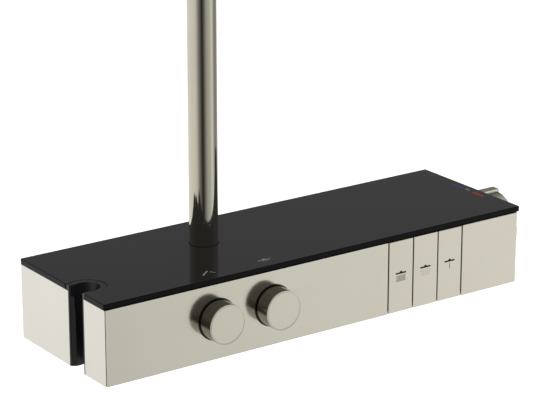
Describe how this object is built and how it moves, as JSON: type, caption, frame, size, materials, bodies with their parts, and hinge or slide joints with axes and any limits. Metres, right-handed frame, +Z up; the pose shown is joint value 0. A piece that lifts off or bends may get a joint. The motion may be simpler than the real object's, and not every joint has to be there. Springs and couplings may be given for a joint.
{
  "type": "shower column",
  "caption": "Wall-hung thermostatic shower shelf with a black glass top, two volume knobs, three push buttons, a riser pole and a round rain head on a swivelling arm.",
  "frame": {"origin": "on the wall plane, midway between the two wall inlets, which is also straight behind the riser pole's axis", "axes": "+X to the user's right along the shelf, -Y out of the wall towards the user, +Z up"},
  "size_m": [0.5545, 0.5759, 1.1458],
  "materials": {
    "brushed_nickel": "satin brushed nickel",
    "black_glass": "black back-printed toughened glass",
    "black_plastic": "moulded matt",
    "black_gloss": "moulded gloss",
    "zinc_steel": "zinc plated",
    "stainless_steel": "plain",
    "brass": "cast and turned",
    "rubber": "matt",
    "silicone": "soft matt",
    "white_tube": "extruded",
    "ceramic": "smooth"
  },
  "bodies": {
    "column": {"wall_plate": "zinc_steel", "chassis": "zinc_steel", "plate_screws": "stainless_steel", "glass_shelf": "black_glass", "glass_pads": "rubber", "handset_holder": "black_plastic", "front_panel": "brushed_nickel", "front_panel_right": "brushed_nickel", "left_panel_front": "brushed_nickel", "left_panel_rear": "brushed_nickel", "right_panel": "brushed_nickel", "bottom_cover": "brushed_nickel", "cover_screws": "stainless_steel", "button_guide": "black_plastic", "inlet_nuts": "brass", "inlet_filters": "stainless_steel", "check_valves": "black_plastic", "hot_pipe": "brass", "cold_pipe": "brass", "thermostat_body": "brass", "thermostat_cartridge": "black_plastic", "stop_ring": "black_plastic", "mixed_pipe": "brass", "valve_block": "brass", "hand_cartridge": "stainless_steel", "head_cartridge": "stainless_steel", "knob_rings": "black_gloss", "hand_pipe": "stainless_steel", "hose_outlet": "brass", "head_pipe": "stainless_steel", "select_block": "brass", "select_cartridges": "black_plastic", "button_springs": "stainless_steel", "spray_lines": "white_tube", "riser_socket": "brass", "riser_pipe": "brushed_nickel", "riser_seals": "rubber", "bracket_base": "zinc_steel", "bracket_arm": "brushed_nickel", "bracket_cover": "brushed_nickel", "swivel_core": "brass", "swivel_seals": "rubber"},
    "hand_control": {"hand_knob": "brushed_nickel", "hand_spindle": "ceramic"},
    "head_control": {"head_knob": "brushed_nickel", "head_spindle": "ceramic"},
    "full_key": {"full_button": "brushed_nickel"},
    "soft_key": {"soft_button": "brushed_nickel"},
    "jet_key": {"jet_button": "brushed_nickel"},
    "temperature_control": {"temperature_knob": "brushed_nickel", "temperature_spindle": "ceramic", "knob_end_cap": "brushed_nickel"},
    "safety_key": {"safety_button": "brushed_nickel"},
    "swing_arm": {"shower_arm": "brushed_nickel", "arm_lines": "white_tube", "head_nut": "brushed_nickel", "head_manifold": "black_plastic", "head_shell": "brushed_nickel", "spray_plate": "stainless_steel", "nozzle_mat": "silicone"}
  },
  "joints": [
    {"name": "hand_knob_turn", "type": "hinge", "parent": "column", "child": "hand_control", "pos_m": [-0.0494, -0.164, 0.0029], "axis": [0, -1, 0], "range_deg": [0, 90]},
    {"name": "head_knob_turn", "type": "hinge", "parent": "column", "child": "head_control", "pos_m": [0.0186, -0.164, 0.0029], "axis": [0, -1, 0], "range_deg": [0, 90]},
    {"name": "full_press", "type": "slide", "parent": "column", "child": "full_key", "axis": [0, 1, 0], "range_m": [0, 0.003], "stiffness_N_per_m": 700},
    {"name": "soft_press", "type": "slide", "parent": "column", "child": "soft_key", "axis": [0, 1, 0], "range_m": [0, 0.003], "stiffness_N_per_m": 700},
    {"name": "jet_press", "type": "slide", "parent": "column", "child": "jet_key", "axis": [0, 1, 0], "range_m": [0, 0.003], "stiffness_N_per_m": 700},
    {"name": "temperature_turn", "type": "hinge", "parent": "column", "child": "temperature_control", "pos_m": [0.341, -0.088, 0], "axis": [1, 0, 0], "range_deg": [-150, 50]},
    {"name": "safety_press", "type": "slide", "parent": "temperature_control", "child": "safety_key", "axis": [0, 0, -1], "range_m": [0, 0.002], "stiffness_N_per_m": 400},
    {"name": "arm_swing", "type": "hinge", "parent": "column", "child": "swing_arm", "pos_m": [0, -0.0659, 1.072], "axis": [0, 0, 1], "range_deg": [-45, 45]}
  ]
}
